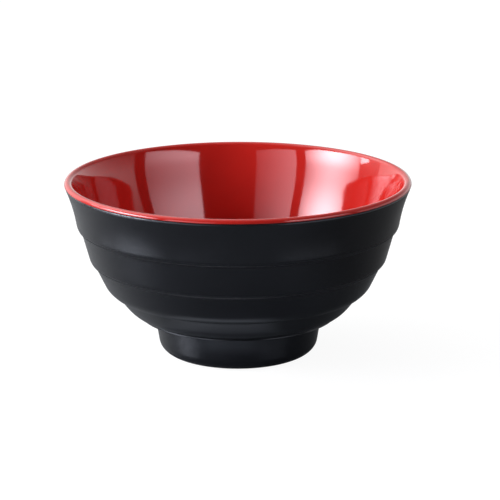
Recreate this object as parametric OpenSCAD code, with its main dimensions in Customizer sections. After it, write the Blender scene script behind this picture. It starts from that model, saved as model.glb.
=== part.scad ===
// Two-colour moulded soup bowl: a black stepped outer shell with a foot ring, and a red liner
// pressed into it whose rounded lip turns over the shell's top edge.
// Rest plane at z = 0, axis of the bowl on Z, millimetres.

/* [Rim] */
// Diameter over the rounded lip
rim_d = 150; // [135:1:175]
// Height from the rest plane to the top of the lip
bowl_h = 77.15; // [72:0.05:95]
// Radius of the lip's outer side
lip_out_r = 1.6; // [1:0.1:2.5]
// Radius of the lip's inner side, where it runs into the inside wall
lip_in_r = 2; // [1:0.05:4]
// How far the lip comes down the outside below its widest line
lip_drop = 0.15; // [0.05:0.05:1.5]
// How far the shell's top edge sits in from the lip
seam_inset = 0.15; // [0:0.05:0.4]

/* [Inside] */
// Lean of the inside wall at the lip, from upright, in degrees
rim_lean = 22; // [18:0.1:30]
// Lean of the upper part of the inside wall
wall_lean = 14.3; // [8:0.1:18]
// Lean of the lower part of the inside wall
base_lean = 20.3; // [18:0.1:26]
// How far below the top of the lip the inside wall flares
flare_drop = 5.35; // [3:0.05:8]
// Radius of the inside wall's flare
in_flare_r = 45; // [10:1:60]
// Height of the bend between the upper and lower parts of the inside wall
bend_z = 55.4; // [48:0.1:60]
// Radius of that bend
bend_r = 130; // [40:1:160]
// Radius between the inside wall and the inside floor
bowl_r = 43; // [25:0.5:46]
// Thickness of the liner
liner_t = 1.2; // [0.8:0.05:2]
// Least thickness of the shell, at the creases and under the floor
shell_t = 1.35; // [1:0.05:3]

/* [Bands] */
// Height of the crease under the top band, above the rest plane
top_crease_z = 56.1; // [52:0.1:60]
// Height of the crease under the middle band
mid_crease_z = 41.3; // [38:0.1:46]
// Height of the crease under the low band
low_crease_z = 27.6; // [25:0.1:32]
// How far the top band stands out over the crease under it
top_step = 1.1; // [0.6:0.05:2.5]
// How far the middle band stands out over the crease under it
mid_step = 0.95; // [0.6:0.05:2.5]
// How far the low band stands out over the crease under it
low_step = 1.8; // [0.6:0.05:3]
// Width of the rolled-in part at the bottom of the top band
top_roll_in = 0.6; // [0.1:0.05:1]
// Width of the rolled-in part at the bottom of the middle band
mid_roll_in = 0.65; // [0.1:0.05:1]
// Width of the rolled-in part at the bottom of the low band
low_roll_in = 2.15; // [0.6:0.05:3]
// Height of the rolled-in part at the bottom of the top band
top_roll_h = 1.2; // [0.5:0.1:2]
// Height of the rolled-in part at the bottom of the middle band
mid_roll_h = 0.9; // [0.5:0.1:2]
// Height of the rolled-in part at the bottom of the low band
low_roll_h = 2; // [0.8:0.1:2.5]
// Radius with which a band rolls in
roll_r = 9; // [3:0.5:14]
// Slope of the underside of a step, in degrees below level
step_slope = 19; // [5:1:40]
// Radius of a band's lower edge
edge_r = 1.6; // [0.3:0.1:2.5]
// Radius in a crease
crease_r = 1.2; // [0.2:0.1:2]
// How far below the top of the lip the waist of the top band lies
waist_drop = 10.15; // [7:0.05:13]
// Thickness of the shell at the waist's corner
waist_t = 1.65; // [1:0.05:2.5]
// Radius of the hollow flare from the waist to the rim
out_flare_r = 68; // [20:1:90]

/* [Foot] */
// Height of the foot ring's outside, up to the belly
foot_h = 15.1; // [11:0.1:20]
// Diameter of the foot ring at its top
foot_d = 73.2; // [68:0.2:78]
// Inward taper of the foot ring towards the table, in degrees
foot_taper = 9.2; // [2:0.2:12]
// Radius of the foot ring's lower outer edge
foot_edge_r = 5.7; // [2:0.1:6]
// Radius where the foot ring meets the belly
foot_root_r = 0.8; // [0.3:0.1:2]
// Diameter of the recess under the bowl, at the rest plane
recess_d = 54; // [44:0.5:56]
// Draft of the recess wall, in degrees
recess_draft = 5; // [1:0.5:10]
// Radius of the recess's mouth
recess_edge_r = 0.8; // [0.3:0.1:1.2]
// Radius between the recess wall and its roof
recess_root_r = 2; // [0.5:0.1:4]
// How far the recess's roof lies below the top of the foot ring
roof_drop = 1.3; // [0.5:0.1:3]
// Direction of the belly's corner below level, seen from the centre of the inside radius
belly_dir = 59.6; // [54:0.1:64]
// How far the belly's corner stands out from the shell's least thickness
belly_t = 3.15; // [1.5:0.05:4]
// Radius of the belly between the lowest band and the foot ring
belly_r = 18.5; // [6:0.5:22]

/* [Hidden] */
turn_fn = 192;
// How far the straight steps of a rounded outline may lie inside its arc
arc_sag = 0.02;
// Lengths and angles below this are taken as nothing
tiny = 0.001;

rim_r = rim_d / 2;
lip_top_r = rim_r - lip_out_r;
lip_out_centre = [lip_top_r, bowl_h - lip_out_r];
lip_in_centre = [lip_top_r, bowl_h - lip_in_r];
seam_z = lip_out_centre.y - lip_drop;
wall_t = liner_t + shell_t;
roof_z = foot_h - roof_drop;
floor_z = roof_z + wall_t;
flare_z = bowl_h - flare_drop;
bowl_centre_z = floor_z + bowl_r;
bowl_centre = [base_r(bowl_centre_z) - bowl_r / cos(base_lean), bowl_centre_z];

// Radius, at height z, of the inside wall's three straight stretches before they are rounded
function rim_wall_r(z) =
    lip_in_centre.x + (z - lip_in_centre.y) * tan(rim_lean) - lip_in_r / cos(rim_lean);
function wall_r(z) = rim_wall_r(flare_z) + (z - flare_z) * tan(wall_lean);
function base_r(z) = wall_r(bend_z) + (z - bend_z) * tan(base_lean);

function unit(v) = v / norm(v);

// Points of an arc round c, from angle a to angle b
function arc(c, r, a, b) =
    let (n = max(2, ceil(abs(b - a) / (2 * acos(max(0, 1 - arc_sag / r))))))
    [for (i = [0 : n]) c + r * [cos(a + (b - a) * i / n), sin(a + (b - a) * i / n)]];

// Half the angle by which a path turns at q, and the length that a round of radius r takes up there
function half_turn(p, q, s) = acos(max(-1, min(1, unit(q - p) * unit(s - q)))) / 2;
function reach(p, q, s, r) = r * tan(half_turn(p, q, s));

// The corner q between p and s, rounded over the length t from the corner
function rounded(p, q, s, t) =
    let (h = half_turn(p, q, s))
    t < tiny || h < tiny ? [q] :
    let (
        u = unit(p - q),
        w = unit(s - q),
        r = t / tan(h),
        c = q + unit(u + w) * r / cos(h),
        from = q + u * t - c,
        side = cross(u, w) > 0 ? -1 : 1,
        a = atan2(from.y, from.x)
    ) arc(c, r, a, a + side * 2 * h);

function xy(corner) = [corner.x, corner.y];

// A path through corners [x, y, radius], each rounded as far as its neighbours leave room
function rounded_path(corners) =
    let (
        last = len(corners) - 1,
        p = [for (c = corners) xy(c)],
        want = [for (i = [0 : last]) i == 0 || i == last ? 0 : reach(p[i - 1], p[i], p[i + 1], corners[i].z)],
        room = [for (i = [0 : last - 1]) min(1, norm(p[i + 1] - p[i]) / max(tiny, want[i] + want[i + 1]))]
    )
    [for (i = [0 : last])
        each i == 0 || i == last ? [p[i]] :
            rounded(p[i - 1], p[i], p[i + 1], want[i] * min(room[i - 1], room[i]))];

function reversed(path) = [for (i = [len(path) - 1 : -1 : 0]) path[i]];
function after_first(path) = [for (i = [1 : len(path) - 1]) path[i]];

// The corner q between p and s, moved so that both its sides lie t further to their right
function set_out(p, q, s, t) =
    let (
        u = unit(q - p),
        w = unit(s - q),
        right_u = [u.y, -u.x],
        right_w = [w.y, -w.x]
    ) q + (right_u + right_w) * t / (1 + right_u * right_w);

// The inside surface set out by t, from the axis up to height z
function inside_path(t, z) =
    let (
        middle = [0, floor_z],
        heel = [base_r(floor_z), floor_z],
        bend = [wall_r(bend_z), bend_z],
        flare = [rim_wall_r(flare_z), flare_z],
        top = [rim_wall_r(bowl_h), bowl_h],
        heel_t = set_out(middle, heel, bend, t),
        bend_t = set_out(heel, bend, flare, t),
        flare_t = set_out(bend, flare, top, t)
    )
    rounded_path([
        [0, floor_z - t, 0],
        [heel_t.x, heel_t.y, bowl_r + t],
        [bend_t.x, bend_t.y, bend_r + t],
        [flare_t.x, flare_t.y, in_flare_r - t],
        [rim_wall_r(z) + t / cos(rim_lean), z, 0]
    ]);

// Radius, at height z, of the inside surface set out by t
function skin_r(z, t) = lookup(z, [for (p = inside_path(t, bowl_h)) [p.y, p.x]]);

waist_z = bowl_h - waist_drop;
waist = [skin_r(waist_z, liner_t + waist_t), waist_z];
belly = bowl_centre + (bowl_r + wall_t + belly_t) * [cos(belly_dir), -sin(belly_dir)];
foot_r = foot_d / 2;
foot_low_r = foot_r - foot_h * tan(foot_taper);
recess_r = recess_d / 2;
recess_roof_r = recess_r - roof_z * tan(recess_draft);

// Corners at the bottom of a band: where it rolls in, its lower edge and the crease under it
function band_corners(crease_z, step, roll_in, roll_h) =
    let (
        crease = [skin_r(crease_z, wall_t), crease_z],
        edge = crease + step * [1, tan(step_slope)],
        roll = edge + [roll_in, roll_h]
    )
    [[roll.x, roll.y, roll_r], [edge.x, edge.y, edge_r], [crease.x, crease.y, crease_r]];

// Corners of the shell's outside, from the seam down to the table and up into the recess
outside_corners = [
    [rim_r - seam_inset, seam_z, 0],
    [waist.x, waist.y, out_flare_r],
    each band_corners(top_crease_z, top_step, top_roll_in, top_roll_h),
    each band_corners(mid_crease_z, mid_step, mid_roll_in, mid_roll_h),
    each band_corners(low_crease_z, low_step, low_roll_in, low_roll_h),
    [belly.x, belly.y, belly_r],
    [foot_r, foot_h, foot_root_r],
    [foot_low_r, 0, foot_edge_r],
    [recess_r, 0, recess_edge_r],
    [recess_roof_r, roof_z, recess_root_r],
    [0, roof_z, 0]
];

module turned(outline) {
    rotate_extrude($fn = turn_fn)
        polygon(outline);
}

module outer_shell() {
    color([0.1, 0.1, 0.11])
        turned(concat(inside_path(liner_t, seam_z), rounded_path(outside_corners)));
}

module inner_liner() {
    lip_in = arc(lip_in_centre, lip_in_r, 180 - rim_lean, 90);
    lip_out = arc(lip_out_centre, lip_out_r, 90, 0);
    color([0.68, 0.09, 0.07])
        turned(concat(
            inside_path(0, lip_in[0].y),
            after_first(lip_in),
            after_first(lip_out),
            [[rim_r, seam_z]],
            reversed(inside_path(liner_t, seam_z))
        ));
}

outer_shell();
inner_liner();
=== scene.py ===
import math

import bpy
from mathutils import Matrix, Vector


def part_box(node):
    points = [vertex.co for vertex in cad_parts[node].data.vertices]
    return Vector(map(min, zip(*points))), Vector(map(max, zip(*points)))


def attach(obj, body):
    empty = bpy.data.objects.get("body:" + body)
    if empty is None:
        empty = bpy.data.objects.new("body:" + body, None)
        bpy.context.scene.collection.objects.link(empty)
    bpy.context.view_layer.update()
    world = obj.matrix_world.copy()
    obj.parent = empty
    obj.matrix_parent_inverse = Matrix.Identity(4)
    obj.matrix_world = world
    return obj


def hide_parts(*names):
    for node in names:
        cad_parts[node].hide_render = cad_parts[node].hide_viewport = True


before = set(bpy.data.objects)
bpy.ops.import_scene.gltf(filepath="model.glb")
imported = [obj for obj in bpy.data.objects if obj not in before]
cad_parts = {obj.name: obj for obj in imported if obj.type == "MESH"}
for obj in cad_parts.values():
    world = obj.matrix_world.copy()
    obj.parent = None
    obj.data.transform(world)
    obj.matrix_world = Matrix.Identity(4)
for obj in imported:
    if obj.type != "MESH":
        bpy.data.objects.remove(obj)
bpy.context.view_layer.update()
mm = 0.001
tiny = 1e-6        # anything below this is taken as nothing
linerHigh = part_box("inner_liner")[1]
print("frame loaded: rim", round(linerHigh.x / mm, 2), "mm out, lip", round(linerHigh.z / mm, 2), "mm up")


# outlines, all in millimetres as (radius, height)
fineness = {       # how far a step may lie off its arc, and the longest step on a straight stretch
    "inside": (0.008, 1.5),
    "bondedFace": (0.03, 6.0),
    "outside": (0.006, 1.2),
    "fin": (0.002, 1.2),
    "measure": (0.02, 5.0),
}
lipSag = 0.004
fewestSteps = 3    # on any arc


def arcPoints(centre, radius, start, end, sag):
    step = 2 * math.acos(max(0.0, 1 - sag / radius))
    count = max(fewestSteps, math.ceil(abs(end - start) / step))
    turns = [start + (end - start) * i / count for i in range(count + 1)]
    return [centre + radius * Vector((math.cos(t), math.sin(t))) for t in turns]


def halfTurn(before, corner, after):
    return (corner - before).angle(after - corner, 0.0) / 2


def roundedCorner(before, corner, after, reach, sag):
    half = halfTurn(before, corner, after)
    if reach < tiny or half < tiny:
        return [corner]
    back = (before - corner).normalized()
    ahead = (after - corner).normalized()
    radius = reach / math.tan(half)
    centre = corner + (back + ahead).normalized() * radius / math.cos(half)
    first = corner + back * reach - centre
    side = -1 if back.x * ahead.y - back.y * ahead.x > 0 else 1
    start = math.atan2(first.y, first.x)
    return arcPoints(centre, radius, start, start + side * 2 * half, sag)


# corners are (radius, height, rounding), each rounded as far as its neighbours leave room
def roundedPath(corners, sag, stride):
    points = [Vector(c[:2]) for c in corners]
    last = len(points) - 1
    want = [0.0] * (last + 1)
    for i in range(1, last):
        want[i] = corners[i][2] * math.tan(halfTurn(points[i - 1], points[i], points[i + 1]))
    lengths = [(points[i + 1] - points[i]).length for i in range(last)]
    room = [min(1, lengths[i] / max(tiny, want[i] + want[i + 1])) for i in range(last)]
    path = [points[0]]
    for i in range(1, last + 1):
        if i < last:
            reach = want[i] * min(room[i - 1], room[i])
            bend = roundedCorner(points[i - 1], points[i], points[i + 1], reach, sag)
        else:
            bend = [points[last]]
        gap = bend[0] - path[-1]
        cuts = math.ceil(gap.length / stride)
        path += [path[-1] + gap * k / cuts for k in range(1, cuts)] + bend
    return path


# form that the liner and the shell share: the inside of the bowl and the walls' thickness
inside = {
    "rimLean": 22.0,        # lean from upright, in degrees: at the lip, up the wall and low on the wall
    "wallLean": 14.3,
    "baseLean": 20.3,
    "flareDrop": 5.35,      # how far under the top of the lip the wall flares
    "flareRound": 45.0,
    "bendHeight": 55.4,
    "bendRound": 130.0,
    "bowlRound": 43.0,
    "floorHeight": 16.35,
    "linerThick": 1.2,
    "shellThick": 1.35,
    "lipOutRound": 1.6,
    "lipInRound": 2.0,
    "lipDrop": 0.0,         # how far the lip comes down outside, under its widest line
}

rimRadius = linerHigh.x / mm
lipTop = linerHigh.z / mm
lipTopRadius = rimRadius - inside["lipOutRound"]
lipOutCentre = Vector((lipTopRadius, lipTop - inside["lipOutRound"]))
lipInCentre = Vector((lipTopRadius, lipTop - inside["lipInRound"]))
seamHeight = lipOutCentre.y - inside["lipDrop"]
flareHeight = lipTop - inside["flareDrop"]
wallThick = inside["linerThick"] + inside["shellThick"]
rimLean, wallLean, baseLean = (math.radians(inside[k]) for k in ("rimLean", "wallLean", "baseLean"))


# radius, at a height, of the inside wall's three straight stretches before they are rounded
def rimWallRadius(height):
    rise = height - lipInCentre.y
    return lipInCentre.x + rise * math.tan(rimLean) - inside["lipInRound"] / math.cos(rimLean)


def wallRadius(height):
    return rimWallRadius(flareHeight) + (height - flareHeight) * math.tan(wallLean)


def baseRadius(height):
    return wallRadius(inside["bendHeight"]) + (height - inside["bendHeight"]) * math.tan(baseLean)


# a corner moved so that both its sides lie further to their right
def setOut(before, corner, after, thick):
    u = (corner - before).normalized()
    w = (after - corner).normalized()
    rightU = Vector((u.y, -u.x))
    rightW = Vector((w.y, -w.x))
    return corner + (rightU + rightW) * thick / (1 + rightU.dot(rightW))


# the inside surface set out by a thickness, from the axis up to a height
def insidePath(thick, height, sag, stride):
    floor = inside["floorHeight"]
    middle = Vector((0, floor))
    heel = Vector((baseRadius(floor), floor))
    bend = Vector((wallRadius(inside["bendHeight"]), inside["bendHeight"]))
    flare = Vector((rimWallRadius(flareHeight), flareHeight))
    top = Vector((rimWallRadius(lipTop), lipTop))
    heelOut = setOut(middle, heel, bend, thick)
    bendOut = setOut(heel, bend, flare, thick)
    flareOut = setOut(bend, flare, top, thick)
    return roundedPath([
        (0, floor - thick, 0),
        (heelOut.x, heelOut.y, inside["bowlRound"] + thick),
        (bendOut.x, bendOut.y, inside["bendRound"] + thick),
        (flareOut.x, flareOut.y, inside["flareRound"] - thick),
        (rimWallRadius(height) + thick / math.cos(rimLean), height, 0),
    ], sag, stride)


# radius, at a height, of the inside surface set out by a thickness
def skinRadius(height, thick):
    path = insidePath(thick, lipTop, *fineness["measure"])
    for low, high in zip(path[1:], path[2:]):
        if low.y <= height <= high.y:
            return low.x + (high.x - low.x) * (height - low.y) / (high.y - low.y)
    return path[-1].x


# short ways of adding nodes to any tree; a value may be a number or another node's output
class Wiring:
    def __init__(self, tree):
        self.nodes = tree.nodes
        self.link = tree.links.new

    def put(self, value, socket):
        if isinstance(value, bpy.types.NodeSocket):
            self.link(value, socket)
        elif value is not None:
            socket.default_value = value

    def add(self, kind, **values):
        node = self.nodes.new(kind)
        for key, value in values.items():
            setattr(node, key, value)
        return node

    def maths(self, operation, *values):
        node = self.add("ShaderNodeMath", operation=operation)
        for value, socket in zip(values, node.inputs):
            self.put(value, socket)
        return node.outputs[0]

    def apart(self, a, b):
        return self.maths("ABSOLUTE", self.maths("SUBTRACT", a, b))

    def vector(self, operation, a, b=None):
        node = self.add("ShaderNodeVectorMath", operation=operation)
        self.put(a, node.inputs[0])
        self.put(b, node.inputs["Scale" if operation == "SCALE" else 1])
        return node.outputs["Value" if operation in ("LENGTH", "DOT_PRODUCT") else "Vector"]

    def along(self, place):
        node = self.add("ShaderNodeSeparateXYZ")
        self.link(place, node.inputs[0])
        return node.outputs

    def noise(self, place, scale, detail=2.0, seed=None):
        node = self.add("ShaderNodeTexNoise", noise_dimensions="3D" if seed is None else "4D")
        self.put(scale, node.inputs["Scale"])
        self.put(detail, node.inputs["Detail"])
        self.link(place, node.inputs["Vector"])
        if seed is not None:
            self.put(seed, node.inputs["W"])
        return node.outputs[0]

    def remap(self, value, old, new=(0.0, 1.0), kind="LINEAR"):
        node = self.add("ShaderNodeMapRange", interpolation_type=kind)
        self.put(value, node.inputs["Value"])
        for socket, number in zip(("From Min", "From Max", "To Min", "To Max"), (*old, *new)):
            self.put(number, node.inputs[socket])
        return node.outputs[0]

    def blend(self, share, a, b):
        node = self.add("ShaderNodeMix", data_type="RGBA")
        for value, socket in zip((share, a, b), (0, 6, 7)):    # the factor and the two colours of a mix
            self.put(value, node.inputs[socket])
        return node.outputs[2]

    def bump(self, height, depth):
        node = self.add("ShaderNodeBump")
        node.inputs["Distance"].default_value = depth
        self.link(height, node.inputs["Height"])
        return node.outputs[0]


# one node tree turns any outline into a closed moulding
turnInputs = {
    "Outline": "Geometry",
    "Turns": "Int",
    "Sweep Radius": "Float",
    "Ripple Height": "Float",
    "Ripple Scale": "Float",
    "Settle Height": "Float",
    "Ragged Depth": "Float",
    "Ragged Height": "Float",
    "Ragged Width": "Float",
    "Ragged Scale": "Float",
    "Ragged Detail": "Float",
    "Seed": "Float",
    "Material": "Material",
}
noiseMiddle = 0.5


def turnTree():
    tree = bpy.data.node_groups.new("turned moulding", "GeometryNodeTree")
    tree.is_modifier = True
    for name, kind in turnInputs.items():
        tree.interface.new_socket(name, in_out="INPUT", socket_type="NodeSocket" + kind)
    tree.interface.new_socket("Moulding", in_out="OUTPUT", socket_type="NodeSocketGeometry")
    wiring = Wiring(tree)
    add, link, maths = wiring.add, wiring.link, wiring.maths
    given = add("NodeGroupInput").outputs

    # the outline is swept along a circle, shifted in by the circle's own radius
    curve = add("GeometryNodeMeshToCurve")
    link(given["Outline"], curve.inputs["Mesh"])
    shift = add("ShaderNodeCombineXYZ")
    link(maths("MULTIPLY", given["Sweep Radius"], -1.0), shift.inputs["X"])
    moved = add("GeometryNodeSetPosition")
    link(curve.outputs["Curve"], moved.inputs["Geometry"])
    link(shift.outputs[0], moved.inputs["Offset"])
    circle = add("GeometryNodeCurvePrimitiveCircle")
    link(given["Turns"], circle.inputs["Resolution"])
    link(given["Sweep Radius"], circle.inputs["Radius"])
    upright = add("GeometryNodeSetCurveNormal", mode="Z_UP")
    link(circle.outputs["Curve"], upright.inputs["Curve"])
    sweep = add("GeometryNodeCurveToMesh")
    link(upright.outputs["Curve"], sweep.inputs["Curve"])
    link(moved.outputs["Geometry"], sweep.inputs["Profile Curve"])
    poles = add("GeometryNodeMergeByDistance")
    poles.inputs["Distance"].default_value = tiny
    link(sweep.outputs["Mesh"], poles.inputs["Geometry"])

    # slow ripple all over but where the foot stands, and a ragged edge round one height
    place = add("GeometryNodeInputPosition").outputs[0]
    normal = add("GeometryNodeInputNormal").outputs[0]
    height = wiring.along(place)["Z"]
    ripple = wiring.noise(place, given["Ripple Scale"], seed=given["Seed"])
    ripples = maths("MULTIPLY", maths("SUBTRACT", ripple, noiseMiddle), given["Ripple Height"])
    settled = wiring.remap(height, (0.0, given["Settle Height"]))
    ragged = wiring.noise(place, given["Ragged Scale"], given["Ragged Detail"], given["Seed"])
    rags = maths("MULTIPLY", maths("SUBTRACT", ragged, noiseMiddle), given["Ragged Depth"])
    off = wiring.apart(height, given["Ragged Height"])
    near = wiring.remap(off, (0.0, given["Ragged Width"]), (1.0, 0.0))
    lift = maths("ADD", maths("MULTIPLY", ripples, settled), maths("MULTIPLY", rags, near))
    uneven = add("GeometryNodeSetPosition")
    link(poles.outputs["Geometry"], uneven.inputs["Geometry"])
    link(wiring.vector("SCALE", normal, lift), uneven.inputs["Offset"])

    smooth = add("GeometryNodeSetShadeSmooth")
    link(uneven.outputs["Geometry"], smooth.inputs["Geometry"])
    real = add("GeometryNodeRealizeInstances")
    link(smooth.outputs["Geometry"], real.inputs["Geometry"])
    finish = add("GeometryNodeSetMaterial")
    link(real.outputs["Geometry"], finish.inputs["Geometry"])
    link(given["Material"], finish.inputs["Material"])
    link(finish.outputs["Geometry"], add("NodeGroupOutput").inputs["Moulding"])
    return tree


turnedMoulding = turnTree()


def turnedPiece(name, outline, settings, material):
    mesh = bpy.data.meshes.new(name + "Outline")
    points = [(p.x * mm, -p.y * mm, 0.0) for p in outline]   # the sweep turns the outline over
    mesh.from_pydata(points, [(i, i + 1) for i in range(len(points) - 1)], [])
    piece = bpy.data.objects.new(name, mesh)
    bpy.context.collection.objects.link(piece)
    turn = piece.modifiers.new("turn", "NODES")
    turn.node_group = turnedMoulding
    inputs = [item for item in turnedMoulding.interface.items_tree if item.in_out == "INPUT"]
    sockets = {item.name: item.identifier for item in inputs}
    for key, value in settings.items():
        turn[sockets[key]] = value
    turn[sockets["Material"]] = material
    turned = piece.evaluated_get(bpy.context.evaluated_depsgraph_get())
    made = bpy.data.meshes.new_from_object(turned)
    piece.modifiers.clear()
    piece.data = made
    made.name = name
    bpy.data.meshes.remove(mesh)
    return piece


noiseSpan = (0.3, 0.7)     # most of a noise lies between these


def newMaterial(name):
    material = bpy.data.materials.new(name)
    material.use_nodes = True
    return material, Wiring(material.node_tree), material.node_tree.nodes["Principled BSDF"]


# the red liner: inside wall, full-round lip over the shell's top edge, and the face bonded to the shell
linerFinish = {
    "red": (0.52, 0.0190, 0.0140, 1.0),
    "deepRed": (0.475, 0.0160, 0.0118, 1.0),
    "clouds": (40.0, 4.0),                  # scale and detail of a noise
    "specks": (900.0, 2.0),
    "smears": (75.0, 5.0),
    "wearAndHighlightTone": (0.56, 0.034, 0.028, 1.0),      # painted highlight along the top of the lip, broken into specks
    "wearAndHighlightReach": 0.0012,
    "wearAndHighlightSpecks": (0.4, 0.75),
    "roughness": (0.045, 0.085),
    "index": 1.68,
    "glint": (1.0, 0.72, 0.74, 1.0),        # the glaze takes a little of the red into its gloss
    "peelScale": 420.0,                     # faint orange peel of the glaze
    "peelDepth": 0.000003,
}
liner = {
    "Turns": 320,
    "Sweep Radius": 0.1,
    "Ripple Height": 0.00004,
    "Ripple Scale": 55.0,
    "Settle Height": 0.003,
    "Ragged Depth": 0.0,
    "Ragged Height": 0.0,
    "Ragged Width": 0.001,
    "Ragged Scale": 1.0,
    "Ragged Detail": 3.0,
    "Seed": 3.0,
}


def glossyRed():
    material, wiring, shader = newMaterial("liner_red_gloss")
    place = wiring.add("ShaderNodeTexCoord").outputs["Object"]
    cloud = wiring.noise(place, *linerFinish["clouds"])
    speck = wiring.noise(place, *linerFinish["specks"])
    smear = wiring.noise(place, *linerFinish["smears"])
    tone = wiring.blend(wiring.remap(cloud, noiseSpan), linerFinish["red"], linerFinish["deepRed"])
    # painted highlight: the top of the lip turns a lighter red in specks
    high = wiring.remap(wiring.along(place)["Z"], (lipTop * mm - linerFinish["wearAndHighlightReach"], lipTop * mm))
    wearAndHighlight = wiring.maths("MULTIPLY", high, wiring.remap(speck, linerFinish["wearAndHighlightSpecks"]))
    wiring.link(wiring.blend(wearAndHighlight, tone, linerFinish["wearAndHighlightTone"]), shader.inputs["Base Color"])
    wiring.link(wiring.remap(smear, noiseSpan, linerFinish["roughness"]), shader.inputs["Roughness"])
    shader.inputs["IOR"].default_value = linerFinish["index"]
    shader.inputs["Specular Tint"].default_value = linerFinish["glint"]
    peel = wiring.bump(wiring.noise(place, linerFinish["peelScale"]), linerFinish["peelDepth"])
    wiring.link(peel, shader.inputs["Normal"])
    return material


def linerOutline():
    lipIn = arcPoints(lipInCentre, inside["lipInRound"], math.pi - rimLean, math.pi / 2, lipSag)
    lipOut = arcPoints(lipOutCentre, inside["lipOutRound"], math.pi / 2, 0, lipSag)
    under = insidePath(inside["linerThick"], seamHeight, *fineness["bondedFace"])
    return insidePath(0, lipIn[0].y, *fineness["inside"]) + lipIn[1:] + lipOut[1:] + under[::-1]


linerPiece = turnedPiece("bowlLiner", linerOutline(), liner, glossyRed())
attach(linerPiece, "root")
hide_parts("inner_liner")
print("liner turned:", len(linerPiece.data.polygons), "faces")


# the black shell: flared top band, three lapped bands, belly and foot ring
shellForm = {
    "seamOut": 0.08,         # the top edge's corner, before it is rounded, stands just outside the lip
    "topEdgeRound": 1.0,
    "edgeStart": 1.5,        # the outside starts on the flat top edge, this many roundings in
    "raggedDrop": 0.4,       # the top edge is most ragged this far under the seam
    "bands": (               # crease height, step out, roll in, roll height
        (56.1, 1.1, 0.6, 1.2),
        (41.3, 0.95, 0.65, 0.9),
        (27.6, 1.8, 2.15, 2.0),
    ),
    "rollRound": 9.0,
    "stepSlope": 19.0,
    "edgeRound": 1.6,
    "creaseRound": 1.2,
    "waistDrop": 10.15,
    "waistThick": 1.65,
    "flareRound": 68.0,
    "footHeight": 15.1,
    "footRadius": 36.6,
    "footTaper": 9.2,
    "footEdgeRound": 5.7,
    "footRootRound": 0.8,
    "finSlope": 24.0,        # the mould line stands where the belly has turned in to this slope
    "finAbove": 6.0,         # and less than this above the foot
    "finTall": 0.5,
    "finHalf": 0.2,
    "finTip": 0.9,           # its tip stands this share of its half width up the belly from its middle
    "finRound": 0.05,
    "recessRadius": 27.0,
    "recessDraft": 5.0,
    "recessEdgeRound": 0.8,
    "recessRootRound": 2.0,
    "roofDrop": 1.3,
    "bellyTurn": 59.6,
    "bellyOut": 3.15,
    "bellyRound": 18.5,
}
shellFinish = {
    "black": (0.0042, 0.0044, 0.0055, 1.0),
    "rubbed": (0.0062, 0.0064, 0.0078, 1.0),
    "clouds": (60.0, 5.0),                  # scale and detail of a noise
    "specks": (650.0, 4.0),
    "wearAndHighlightTone": (0.0085, 0.0087, 0.0100, 1.0),  # in places along the bands' lower edges
    "wearAndHighlightReach": 0.0008,
    "wornClouds": (0.54, 0.74),
    "wearAndHighlightSpecks": (0.45, 0.7),
    "roughness": (0.20, 0.27),
    "index": 1.5,
    "glint": (0.86, 0.90, 1.0, 1.0),        # the gloss of the black is a little blue
    "grainScale": 2400.0,
    "grainDepth": 0.000004,
    "drawn": (60.0, 60.0, 900.0),           # faint marks drawn round the wall by handling
    "drawnDetail": 4.0,
    "paintedGlazeSheen": (0.016, 0.017, 0.019, 1.0),    # the liner's glaze, run down under the lip on the side towards the left softbox, painted greyer there as a sheen
    "glazeRoughness": 0.12,
    "glazeReach": 0.0015,
    # the side that faces the left softbox, where the sheen is painted
    "glazeSide": (-0.82, -0.57, 0.0),
    "glazeTurn": (0.55, 0.66),
    "glazeSpecks": (0.35, 0.65),
    "glazeEdge": 0.00012,
    "dullEdge": (0.0011, 0.0004),           # the top edge turns dull between these depths under the seam
    "dullBand": (0.0004, 0.0011),           # and so do the upper two bands, this near their lower edges
    "dullRoughness": 0.5,
}
shell = {
    "Turns": 400,
    "Sweep Radius": 0.1,
    "Ripple Height": 0.00005,
    "Ripple Scale": 40.0,
    "Settle Height": 0.003,
    "Ragged Depth": 0.0004,
    "Ragged Height": (seamHeight - shellForm["raggedDrop"]) * mm,
    "Ragged Width": 0.0009,
    "Ragged Scale": 480.0,
    "Ragged Detail": 3.0,
    "Seed": 7.0,
}
stepRise = math.tan(math.radians(shellForm["stepSlope"]))


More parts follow.
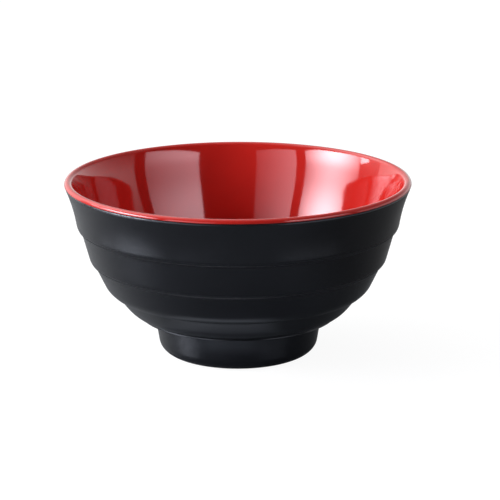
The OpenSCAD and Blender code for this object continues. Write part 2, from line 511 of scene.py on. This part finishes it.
def satinBlack():
    material, wiring, shader = newMaterial("shell_black_satin")
    place = wiring.add("ShaderNodeTexCoord").outputs["Object"]
    height = wiring.along(place)["Z"]
    cloud = wiring.noise(place, *shellFinish["clouds"])
    speck = wiring.noise(place, *shellFinish["specks"])
    tone = wiring.blend(wiring.remap(cloud, noiseSpan), shellFinish["black"], shellFinish["rubbed"])
    # wear along the lower edge of each band, and dull edges on all bands but the lowest
    lowestCrease = min(band[0] for band in shellForm["bands"])
    wearAndHighlight = 0.0
    dulled = 0.0
    for creaseHeight, step, _, rollHeight in shellForm["bands"]:
        edge = creaseHeight + step * stepRise
        off = wiring.apart(height, (edge + rollHeight / 2) * mm)
        wearAndHighlight = wiring.maths("ADD", wearAndHighlight, wiring.remap(off, (0.0, shellFinish["wearAndHighlightReach"]), (1.0, 0.0)))
        if creaseHeight > lowestCrease:
            off = wiring.apart(height, edge * mm)
            dulled = wiring.maths("ADD", dulled, wiring.remap(off, shellFinish["dullBand"], (1.0, 0.0)))
    patchy = wiring.maths("MULTIPLY", wiring.remap(cloud, shellFinish["wornClouds"]),
                          wiring.remap(speck, shellFinish["wearAndHighlightSpecks"]))
    tone = wiring.blend(wiring.maths("MULTIPLY", wearAndHighlight, patchy), tone, shellFinish["wearAndHighlightTone"])
    # glaze under the lip, with a ragged lower edge, on the side facing the left softbox; its greyer colour
    # is a painted sheen
    side = wiring.vector("DOT_PRODUCT", wiring.vector("NORMALIZE", place), shellFinish["glazeSide"])
    run = wiring.maths("MULTIPLY", wiring.remap(side, shellFinish["glazeTurn"]),
                       wiring.remap(speck, shellFinish["glazeSpecks"]))
    low = wiring.maths("MULTIPLY_ADD", run, -shellFinish["glazeReach"], seamHeight * mm)
    glazeAndSheen = wiring.remap(wiring.maths("SUBTRACT", height, low), (0.0, shellFinish["glazeEdge"]))
    wiring.link(wiring.blend(glazeAndSheen, tone, shellFinish["paintedGlazeSheen"]), shader.inputs["Base Color"])
    # roughness: satin wall, dull edges, glaze
    drawn = wiring.vector("MULTIPLY", place, shellFinish["drawn"])
    marks = wiring.noise(drawn, 1.0, shellFinish["drawnDetail"])
    satin = wiring.remap(marks, noiseSpan, shellFinish["roughness"])
    satin = wiring.remap(dulled, (0.0, 1.0), (satin, shellFinish["dullRoughness"]))
    under = [seamHeight * mm - depth for depth in shellFinish["dullEdge"]]
    dull = wiring.remap(height, under, (satin, shellFinish["dullRoughness"]))
    gloss = wiring.remap(glazeAndSheen, (0.0, 1.0), (dull, shellFinish["glazeRoughness"]))
    wiring.link(gloss, shader.inputs["Roughness"])
    shader.inputs["IOR"].default_value = shellFinish["index"]
    shader.inputs["Specular Tint"].default_value = shellFinish["glint"]
    grain = wiring.bump(wiring.noise(place, shellFinish["grainScale"]), shellFinish["grainDepth"])
    wiring.link(grain, shader.inputs["Normal"])
    return material


# where a band rolls in, its lower edge and the crease under it
def bandCorners(creaseHeight, step, rollIn, rollHeight):
    crease = Vector((skinRadius(creaseHeight, wallThick), creaseHeight))
    edge = crease + step * Vector((1, stepRise))
    roll = edge + Vector((rollIn, rollHeight))
    return [
        (*roll, shellForm["rollRound"]),
        (*edge, shellForm["edgeRound"]),
        (*crease, shellForm["creaseRound"]),
    ]


# the mould line is a fine fin low on the belly
def withFin(path):
    slope = math.tan(math.radians(shellForm["finSlope"]))
    low = shellForm["footHeight"]
    high = low + shellForm["finAbove"]
    for i in range(1, len(path) - 1):
        step = path[i + 1] - path[i]
        if low < path[i].y < high and step.x < 0 and step.y > slope * step.x:
            break
    along = step.normalized()
    out = Vector((-along.y, along.x))
    half, tall, tip, bend = (shellForm[k] for k in ("finHalf", "finTall", "finTip", "finRound"))
    fin = roundedPath([
        (*path[i - 1], 0),
        (*(path[i] - along * half), bend),
        (*(path[i] - along * half * tip + out * tall), bend),
        (*(path[i] + along * half), bend),
        (*path[i + 1], 0),
    ], *fineness["fin"])
    print("mould line at", round(path[i].x, 2), "mm out,", round(path[i].y, 2), "mm up")
    return path[:i - 1] + fin + path[i + 2:]


def shellOutline():
    waistHeight = lipTop - shellForm["waistDrop"]
    waist = skinRadius(waistHeight, inside["linerThick"] + shellForm["waistThick"])
    bowlCentreHeight = inside["floorHeight"] + inside["bowlRound"]
    bowlCentreRadius = baseRadius(bowlCentreHeight) - inside["bowlRound"] / math.cos(baseLean)
    bowlCentre = Vector((bowlCentreRadius, bowlCentreHeight))
    turn = math.radians(shellForm["bellyTurn"])
    out = inside["bowlRound"] + wallThick + shellForm["bellyOut"]
    belly = bowlCentre + out * Vector((math.cos(turn), -math.sin(turn)))
    footHeight = shellForm["footHeight"]
    footLow = shellForm["footRadius"] - footHeight * math.tan(math.radians(shellForm["footTaper"]))
    roof = footHeight - shellForm["roofDrop"]
    roofRadius = shellForm["recessRadius"] - roof * math.tan(math.radians(shellForm["recessDraft"]))
    topEdge = rimRadius + shellForm["seamOut"]
    edgeRound = shellForm["topEdgeRound"]
    corners = [
        (topEdge - shellForm["edgeStart"] * edgeRound, seamHeight, 0),
        (topEdge, seamHeight, edgeRound),
        (waist, waistHeight, shellForm["flareRound"]),
    ]
    for band in shellForm["bands"]:
        corners += bandCorners(*band)
    corners += [
        (belly.x, belly.y, shellForm["bellyRound"]),
        (shellForm["footRadius"], footHeight, shellForm["footRootRound"]),
        (footLow, 0, shellForm["footEdgeRound"]),
        (shellForm["recessRadius"], 0, shellForm["recessEdgeRound"]),
        (roofRadius, roof, shellForm["recessRootRound"]),
        (0, roof, 0),
    ]
    bonded = insidePath(inside["linerThick"], seamHeight, *fineness["bondedFace"])
    return bonded + withFin(roundedPath(corners, *fineness["outside"]))


shellPiece = turnedPiece("bowlShell", shellOutline(), shell, satinBlack())
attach(shellPiece, "root")
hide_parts("outer_shell")
print("shell turned:", len(shellPiece.data.polygons), "faces")


# studio: softboxes, floor, backdrop and camera
# azimuths run from the camera's side, rightwards; the light of each box fades away from its hot spot
softboxes = {
    "leftSoftbox": {
        "distance": 2.0, "azimuth": (-102.0, -53.5), "elevation": (2.0, 31.0),
        "hotSpot": (-78.0, 25.0), "spread": (15.0, 14.0), "radiance": 20.0,
    },
    "backSoftbox": {
        "distance": 1.6, "azimuth": (-112.0, -103.5), "elevation": (15.0, 21.5),
        "hotSpot": (-107.0, 19.0), "spread": (18.0, 18.0), "radiance": 10.0,
    },
    "rightSoftbox": {
        "distance": 1.1, "azimuth": (30.5, 75.5), "elevation": (2.0, 30.0),
        "hotSpot": (34.0, 26.0), "spread": (36.0, 14.0), "radiance": 4.1,
    },
    "leftCard": {
        "distance": 1.1, "azimuth": (-46.5, -14.5), "elevation": (-3.0, 31.0),
        "hotSpot": (-60.0, 20.0), "spread": (27.0, 90.0), "radiance": 3.4,
    },
}
lampHeight = 0.07          # elevations are measured from here
lampColour = (0.97, 1.0, 1.07)


def softbox(name, box):
    distance = box["distance"]
    middle = math.radians(sum(box["azimuth"]) / 2)
    turns = (*box["azimuth"], box["hotSpot"][0])
    rises = (*box["elevation"], box["hotSpot"][1])
    left, right, hotAcross = (distance * math.tan(math.radians(a) - middle) for a in turns)
    low, high, hotUp = (distance * math.tan(math.radians(e)) for e in rises)
    width = right - left
    height = high - low
    data = bpy.data.lights.new(name, "AREA")
    data.shape = "RECTANGLE"
    data.size = width
    data.size_y = height
    data.energy = math.pi * width * height
    data.color = lampColour
    data.use_nodes = True
    wiring = Wiring(data.node_tree)
    across = wiring.along(wiring.add("ShaderNodeNewGeometry").outputs["Parametric"])
    fades = (
        ("X", (hotAcross - left) / width, math.radians(box["spread"][0]) * distance / width),
        ("Y", (hotUp - low) / height, math.radians(box["spread"][1]) * distance / height),
    )
    far = 0.0
    for axis, hot, fade in fades:
        off = wiring.maths("DIVIDE", wiring.maths("SUBTRACT", across[axis], hot), fade)
        far = wiring.maths("MULTIPLY_ADD", off, off, far)
    bell = wiring.maths("EXPONENT", wiring.maths("MULTIPLY", far, -0.5))
    strength = wiring.maths("MULTIPLY", bell, box["radiance"])
    wiring.link(strength, wiring.nodes["Emission"].inputs["Strength"])
    lamp = bpy.data.objects.new(name, data)
    towards = Vector((math.sin(middle), -math.cos(middle), 0))
    lamp.location = towards * distance + Vector((0, 0, lampHeight + (low + high) / 2))
    lamp.rotation_euler = towards.to_track_quat("Z", "Y").to_euler()
    lamp.visible_camera = False
    bpy.context.collection.objects.link(lamp)


for name, box in softboxes.items():
    softbox(name, box)
print("softboxes hung:", len(softboxes))

# white where the camera sees it; the table that lights the bowl and shows in its gloss is darker, and
# painted with light and shade: a pool of light in front of the foot, shade on the right and under the bowl
floorLook = {
    "size": 6.0,
    "white": (0.15, 0.15, 0.15, 1.0),
    "whiteGlow": 0.92,
    "pale": (0.17, 0.18, 0.195, 1.0),
    "dark": (0.015, 0.015, 0.016, 1.0),     # painted shade, darkest far out on the right, away from the left lamps
    "paintedShadowFade": (0.065, 0.12),
    "paintedLightPatch": (0.86, 0.89, 0.93, 1.0),       # painted pool of light: palest in a curved patch in front of the foot
    "frontRing": 0.0565,
    "ringFade": (0.004, 0.0105),
    "frontAcross": -0.009,
    "acrossFade": (0.014, 0.036),
    "roughness": 0.14,
    "index": 1.6,
    "glossShare": 0.09,                     # how much of the white shows in gloss; none of it under the bowl, as painted shade there
    "glossShadeFade": (0.06, 0.15),
}


def paleFloor():
    material, wiring, table = newMaterial("pale_floor")
    table.inputs["Roughness"].default_value = floorLook["roughness"]
    table.inputs["IOR"].default_value = floorLook["index"]
    place = wiring.add("ShaderNodeTexCoord").outputs["Object"]
    across = wiring.along(place)["X"]
    away = wiring.vector("LENGTH", place)
    # painted shade: the table darkens far out on the right, away from the left lamps
    pale = wiring.blend(wiring.remap(across, floorLook["paintedShadowFade"]), floorLook["pale"], floorLook["dark"])
    # painted pool of light in a curved patch in front of the foot, seen in the shell's gloss
    offRing = wiring.remap(wiring.apart(away, floorLook["frontRing"]), floorLook["ringFade"])
    aside = wiring.remap(wiring.apart(across, floorLook["frontAcross"]), floorLook["acrossFade"])
    tone = wiring.blend(wiring.maths("MAXIMUM", offRing, aside), floorLook["paintedLightPatch"], pale)
    wiring.link(tone, table.inputs["Base Color"])
    rays = wiring.add("ShaderNodeLightPath").outputs
    # the white in gloss fades out near the bowl: painted shade under it
    share = wiring.remap(away, floorLook["glossShadeFade"], (0.0, floorLook["glossShare"]))
    gloss = wiring.maths("MULTIPLY", rays["Is Glossy Ray"], share)
    through = wiring.maths("MAXIMUM", rays["Is Camera Ray"], rays["Is Transmission Ray"])
    matt = wiring.add("ShaderNodeBsdfDiffuse")
    matt.inputs["Color"].default_value = floorLook["white"]
    glow = wiring.add("ShaderNodeEmission")
    glow.inputs["Strength"].default_value = floorLook["whiteGlow"]
    white = wiring.add("ShaderNodeAddShader")
    wiring.link(matt.outputs[0], white.inputs[0])
    wiring.link(glow.outputs[0], white.inputs[1])
    seen = wiring.add("ShaderNodeMixShader")
    wiring.link(wiring.maths("MAXIMUM", through, gloss), seen.inputs[0])
    wiring.link(table.outputs[0], seen.inputs[1])
    wiring.link(white.outputs[0], seen.inputs[2])
    wiring.link(seen.outputs[0], wiring.nodes["Material Output"].inputs["Surface"])
    return material


half = floorLook["size"] / 2
floorCorners = [(-half, -half, 0), (half, -half, 0), (half, half, 0), (-half, half, 0)]
floorMesh = bpy.data.meshes.new("floor")
floorMesh.from_pydata(floorCorners, [], [(0, 1, 2, 3)])
floor = bpy.data.objects.new("floor", floorMesh)
floorMesh.materials.append(paleFloor())
bpy.context.collection.objects.link(floor)

# a white backdrop behind the bowl, dark on the camera's side, and a broad glow from the back left and above
backdrop = {
    "from": (122.0, 83.5),          # azimuths where the white starts, on the left and on the right
    "sideFade": (-0.05, 0.05),
    "edgeFade": (-0.01, 0.01),
    "riseFade": (0.08, 0.42),       # it fades between these two rises
    "level": (1.1, 0.20),
    "dark": 0.02,
    "glowTowards": (-128.0, 44.0),  # azimuth and rise
    "glowLevel": 2.8,
    "glowTightness": 8.0,
}
world = bpy.data.worlds.new("studio")
bpy.context.scene.world = world
world.use_nodes = True
sky = Wiring(world.node_tree)
rays = sky.add("ShaderNodeLightPath").outputs
direction = sky.add("ShaderNodeTexCoord").outputs["Generated"]
parts = sky.along(direction)
leftEdge, rightEdge = (-math.cos(math.radians(a)) for a in backdrop["from"])
edge = sky.remap(parts["X"], backdrop["sideFade"], (leftEdge, rightEdge))
past = sky.maths("SUBTRACT", parts["Y"], edge)
behind = sky.remap(past, backdrop["edgeFade"], (backdrop["dark"], 1.0), "SMOOTHSTEP")
paper = sky.maths("MULTIPLY", behind, sky.remap(parts["Z"], backdrop["riseFade"], backdrop["level"]))
turn, lift = (math.radians(a) for a in backdrop["glowTowards"])
towards = (math.sin(turn) * math.cos(lift), -math.cos(turn) * math.cos(lift), math.sin(lift))
nearness = sky.vector("DOT_PRODUCT", direction, towards)
tightness = backdrop["glowTightness"]
lobe = sky.maths("EXPONENT", sky.maths("MULTIPLY_ADD", nearness, tightness, -tightness))
light = sky.maths("MULTIPLY_ADD", lobe, backdrop["glowLevel"], paper)
shown = sky.maths("MAXIMUM", rays["Is Camera Ray"], rays["Is Transmission Ray"])
plain = sky.nodes["Background"].inputs
plain["Color"].default_value = (1, 1, 1, 1)
sky.link(sky.maths("MAXIMUM", shown, light), plain["Strength"])

camera = {
    "aimHeight": 75.27 * mm,    # just under the lip's widest circle
    "distance": 0.825,
    "rise": math.radians(13.265),
    "tilt": math.radians(-2.063),
    "pan": math.radians(0.3565),
    "roll": math.radians(-0.172),
    "lens": 136.96,
    "sensor": 36.0,
}
rise, tilt, pan, roll = (camera[k] for k in ("rise", "tilt", "pan", "roll"))
ahead = Vector((0, math.cos(rise), -math.sin(rise)))
up = Vector((0, math.sin(rise), math.cos(rise)))
right = Vector((1, 0, 0))
ahead, up = ahead * math.cos(tilt) + up * math.sin(tilt), up * math.cos(tilt) - ahead * math.sin(tilt)
ahead, right = ahead * math.cos(pan) + right * math.sin(pan), right * math.cos(pan) - ahead * math.sin(pan)
right, up = right * math.cos(roll) + up * math.sin(roll), up * math.cos(roll) - right * math.sin(roll)
lensData = bpy.data.cameras.new("camera")
lensData.lens = camera["lens"]
lensData.sensor_width = camera["sensor"]
eye = bpy.data.objects.new("camera", lensData)
aim = Vector((0, 0, camera["aimHeight"]))
stand = Vector((0, -math.cos(rise), math.sin(rise))) * camera["distance"] + aim
eye.matrix_world = Matrix((
    (right.x, up.x, -ahead.x, stand.x),
    (right.y, up.y, -ahead.y, stand.y),
    (right.z, up.z, -ahead.z, stand.z),
    (0, 0, 0, 1),
))
bpy.context.collection.objects.link(eye)
bpy.context.scene.camera = eye
bpy.context.scene.view_settings.view_transform = "Standard"
print("studio set")

bpy.context.view_layer.update()
